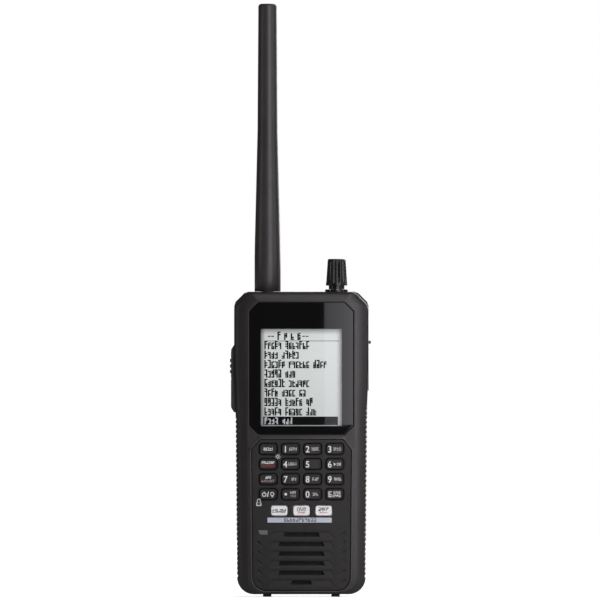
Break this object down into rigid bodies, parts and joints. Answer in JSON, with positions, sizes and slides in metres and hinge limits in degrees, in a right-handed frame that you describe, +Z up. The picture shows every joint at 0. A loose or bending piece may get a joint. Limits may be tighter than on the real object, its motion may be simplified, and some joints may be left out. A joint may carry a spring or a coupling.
{
  "type": "hand-held radio scanner",
  "caption": "Hand-held radio scanner with a display, keypad, side buttons, louvred speaker, screw-on whip antenna, push knob, belt clip, battery door and rubber port cover.",
  "frame": {"origin": "on the surface it stands on, under the middle of the overall box from the keys to the rear of the belt clip", "axes": "+Z up along the antenna, the front with the display faces -Y, +X to the right of a person who reads the display"},
  "size_m": [0.0712, 0.0408, 0.3],
  "materials": {
    "casing": "fine moulded grain, dark grey",
    "foot_rubber": "matt",
    "lens": "polished, clear over the display and black around it",
    "gasket": "matt",
    "lcd": "satin polariser, pale grey",
    "white_plastic": "plain moulded",
    "silicone": "matt",
    "dome_film": "film with metal domes",
    "circuit_board": "solder mask green",
    "chip": "moulded epoxy",
    "tinned_steel": "bright tinned sheet",
    "speaker_paper": "pressed paper",
    "magnet": "plated",
    "gold_brass": "plated thread",
    "plug_insulator": "plain moulded",
    "antenna_rubber": "satin moulded sheath",
    "bright_steel": "plated",
    "knob_plastic": "semi-gloss black",
    "jack_plastic": "semi-gloss black",
    "cover_rubber": "matt",
    "bezel_plastic": "fine moulded grain",
    "side_rubber": "matt",
    "cell_jacket": "printed metal jacket",
    "clip_plastic": "fine moulded grain",
    "dark_key": "satin with white legend",
    "white_key": "satin with dark legend"
  },
  "bodies": {
    "case_body": {"front_case": "casing", "rear_case": "casing", "base_feet": "foot_rubber", "display_lens": "lens", "lens_gasket": "gasket", "lcd_panel": "lcd", "lcd_holder": "white_plastic", "keypad_mat": "silicone", "dome_sheet": "dome_film", "main_board": "circuit_board", "board_chips": "chip", "rf_shield": "tinned_steel", "speaker_basket": "tinned_steel", "speaker_cone": "speaker_paper", "speaker_magnet": "magnet", "antenna_jack": "gold_brass", "encoder_body": "tinned_steel", "knob_collar": "knob_plastic", "earphone_jack": "jack_plastic", "usb_socket": "tinned_steel", "card_socket": "tinned_steel", "memory_card": "chip", "side_bezel": "bezel_plastic", "side_switches": "white_plastic", "battery_cells": "cell_jacket", "battery_contacts": "bright_steel", "clip_bracket": "clip_plastic", "clip_pin": "bright_steel", "clip_spring": "bright_steel", "screws": "bright_steel"},
    "key_func_body": {"key_func": "dark_key"},
    "key_1_body": {"key_1": "dark_key"},
    "key_2_body": {"key_2": "dark_key"},
    "key_3_body": {"key_3": "dark_key"},
    "key_scan_body": {"key_scan": "dark_key"},
    "key_4_body": {"key_4": "dark_key"},
    "key_5_body": {"key_5": "dark_key"},
    "key_6_body": {"key_6": "dark_key"},
    "key_hold_body": {"key_hold": "dark_key"},
    "key_7_body": {"key_7": "dark_key"},
    "key_8_body": {"key_8": "dark_key"},
    "key_9_body": {"key_9": "dark_key"},
    "key_light_body": {"key_light": "dark_key"},
    "key_dot_body": {"key_dot": "dark_key"},
    "key_0_body": {"key_0": "dark_key"},
    "key_enter_body": {"key_enter": "dark_key"},
    "soft_key_left_body": {"soft_key_left": "white_key"},
    "soft_key_middle_body": {"soft_key_middle": "white_key"},
    "soft_key_right_body": {"soft_key_right": "white_key"},
    "function_button_body": {"function_button": "side_rubber"},
    "menu_button_body": {"menu_button": "side_rubber"},
    "encoder_plunger_body": {"encoder_plunger": "white_plastic"},
    "knob_body": {"knob_shaft": "bright_steel", "volume_knob": "knob_plastic"},
    "antenna_plug_body": {"antenna_plug": "plug_insulator"},
    "antenna_body": {"antenna_whip": "antenna_rubber"},
    "door_body": {"battery_door": "casing"},
    "clip_body": {"belt_clip": "clip_plastic"},
    "port_cover_body": {"port_cover": "cover_rubber"}
  },
  "joints": [
    {"name": "key_func_press", "type": "slide", "parent": "case_body", "child": "key_func_body", "axis": [0, 1, 0], "range_m": [0, 0.00065], "stiffness_N_per_m": 400},
    {"name": "key_1_press", "type": "slide", "parent": "case_body", "child": "key_1_body", "axis": [0, 1, 0], "range_m": [0, 0.00065], "stiffness_N_per_m": 400},
    {"name": "key_2_press", "type": "slide", "parent": "case_body", "child": "key_2_body", "axis": [0, 1, 0], "range_m": [0, 0.00065], "stiffness_N_per_m": 400},
    {"name": "key_3_press", "type": "slide", "parent": "case_body", "child": "key_3_body", "axis": [0, 1, 0], "range_m": [0, 0.00065], "stiffness_N_per_m": 400},
    {"name": "key_scan_press", "type": "slide", "parent": "case_body", "child": "key_scan_body", "axis": [0, 1, 0], "range_m": [0, 0.00065], "stiffness_N_per_m": 400},
    {"name": "key_4_press", "type": "slide", "parent": "case_body", "child": "key_4_body", "axis": [0, 1, 0], "range_m": [0, 0.00065], "stiffness_N_per_m": 400},
    {"name": "key_5_press", "type": "slide", "parent": "case_body", "child": "key_5_body", "axis": [0, 1, 0], "range_m": [0, 0.00065], "stiffness_N_per_m": 400},
    {"name": "key_6_press", "type": "slide", "parent": "case_body", "child": "key_6_body", "axis": [0, 1, 0], "range_m": [0, 0.00065], "stiffness_N_per_m": 400},
    {"name": "key_hold_press", "type": "slide", "parent": "case_body", "child": "key_hold_body", "axis": [0, 1, 0], "range_m": [0, 0.00065], "stiffness_N_per_m": 400},
    {"name": "key_7_press", "type": "slide", "parent": "case_body", "child": "key_7_body", "axis": [0, 1, 0], "range_m": [0, 0.00065], "stiffness_N_per_m": 400},
    {"name": "key_8_press", "type": "slide", "parent": "case_body", "child": "key_8_body", "axis": [0, 1, 0], "range_m": [0, 0.00065], "stiffness_N_per_m": 400},
    {"name": "key_9_press", "type": "slide", "parent": "case_body", "child": "key_9_body", "axis": [0, 1, 0], "range_m": [0, 0.00065], "stiffness_N_per_m": 400},
    {"name": "key_light_press", "type": "slide", "parent": "case_body", "child": "key_light_body", "axis": [0, 1, 0], "range_m": [0, 0.00065], "stiffness_N_per_m": 400},
    {"name": "key_dot_press", "type": "slide", "parent": "case_body", "child": "key_dot_body", "axis": [0, 1, 0], "range_m": [0, 0.00065], "stiffness_N_per_m": 400},
    {"name": "key_0_press", "type": "slide", "parent": "case_body", "child": "key_0_body", "axis": [0, 1, 0], "range_m": [0, 0.00065], "stiffness_N_per_m": 400},
    {"name": "key_enter_press", "type": "slide", "parent": "case_body", "child": "key_enter_body", "axis": [0, 1, 0], "range_m": [0, 0.00065], "stiffness_N_per_m": 400},
    {"name": "soft_key_left_press", "type": "slide", "parent": "case_body", "child": "soft_key_left_body", "axis": [0, 1, 0], "range_m": [0, 0.00065], "stiffness_N_per_m": 400},
    {"name": "soft_key_middle_press", "type": "slide", "parent": "case_body", "child": "soft_key_middle_body", "axis": [0, 1, 0], "range_m": [0, 0.00065], "stiffness_N_per_m": 400},
    {"name": "soft_key_right_press", "type": "slide", "parent": "case_body", "child": "soft_key_right_body", "axis": [0, 1, 0], "range_m": [0, 0.00065], "stiffness_N_per_m": 400},
    {"name": "function_button_press", "type": "slide", "parent": "case_body", "child": "function_button_body", "axis": [1, 0, 0], "range_m": [0, 0.0006], "stiffness_N_per_m": 500},
    {"name": "menu_button_press", "type": "slide", "parent": "case_body", "child": "menu_button_body", "axis": [1, 0, 0], "range_m": [0, 0.0006], "stiffness_N_per_m": 500},
    {"name": "knob_press", "type": "slide", "parent": "case_body", "child": "encoder_plunger_body", "axis": [0, 0, -1], "range_m": [0, 0.0006], "stiffness_N_per_m": 600},
    {"name": "knob_turn", "type": "hinge", "parent": "encoder_plunger_body", "child": "knob_body", "pos_m": [0.0179, -0.004, 0.158], "axis": [0, 0, 1], "continuous": true},
    {"name": "antenna_lift", "type": "slide", "parent": "case_body", "child": "antenna_plug_body", "axis": [0, 0, 1], "range_m": [0, 0.00354]},
    {"name": "antenna_turn", "type": "hinge", "parent": "antenna_plug_body", "child": "antenna_body", "pos_m": [-0.0171, -0.004, 0.1545], "axis": [0, 0, 1], "range_deg": [0, 1800]},
    {"name": "battery_door_swing", "type": "hinge", "parent": "case_body", "child": "door_body", "pos_m": [0, 0.0096, 0.01], "axis": [-1, 0, 0], "range_deg": [0, 88]},
    {"name": "belt_clip_swing", "type": "hinge", "parent": "case_body", "child": "clip_body", "pos_m": [0, 0.0156, 0.121], "axis": [1, 0, 0], "range_deg": [0, 12], "stiffness_Nm_per_rad": 0.3, "springref_deg": -5.73},
    {"name": "port_cover_swing", "type": "hinge", "parent": "case_body", "child": "port_cover_body", "pos_m": [0.0333, -0.0067, 0.1168], "axis": [0, 0, 1], "range_deg": [0, 100]}
  ],
  "couplings": [
    {"joint": "antenna_lift", "follows": "antenna_turn", "m_per_rad": 0.00011229}
  ]
}
